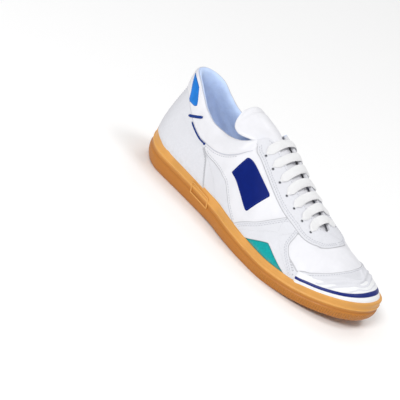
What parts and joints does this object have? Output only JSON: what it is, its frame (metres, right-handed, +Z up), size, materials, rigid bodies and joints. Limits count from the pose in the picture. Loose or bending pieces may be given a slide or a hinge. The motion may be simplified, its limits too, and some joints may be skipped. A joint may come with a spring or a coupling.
{
  "type": "indoor soccer shoe",
  "caption": "Right indoor soccer shoe with a white leather and pale suede upper, padded collar, flat laces over a tongue, and a gum rubber cup sole with a low round tread",
  "frame": {"origin": "middle of the shoe's length and width, on the floor it stands on", "axes": "+X toward the toe, +Y toward the inner side of the foot, +Z up"},
  "size_m": [0.2923, 0.1068, 0.1136],
  "materials": {
    "gum_rubber": "satin",
    "lining_cloth": "matte",
    "white_leather": "satin",
    "pale_suede": "matte",
    "teal_panel": "matte",
    "navy_piece": "satin",
    "white_strip": "satin",
    "blue_piece": "satin",
    "white_lace": "matte"
  },
  "bodies": {
    "root": {"outsole": "gum_rubber", "insole": "lining_cloth", "upper": "white_leather", "collar_cuff": "white_leather", "tongue": "white_leather", "eyestay": "pale_suede", "heel_counter": "pale_suede", "quarter_outer": "pale_suede", "quarter_inner": "pale_suede", "saddle_outer": "pale_suede", "saddle_inner": "pale_suede", "window_outer": "teal_panel", "window_inner": "teal_panel", "side_patch_outer": "navy_piece", "side_patch_inner": "navy_piece", "toe_guard": "white_leather", "toe_strip": "white_strip", "heel_patch": "blue_piece", "laces": "white_lace"}
  },
  "joints": []
}
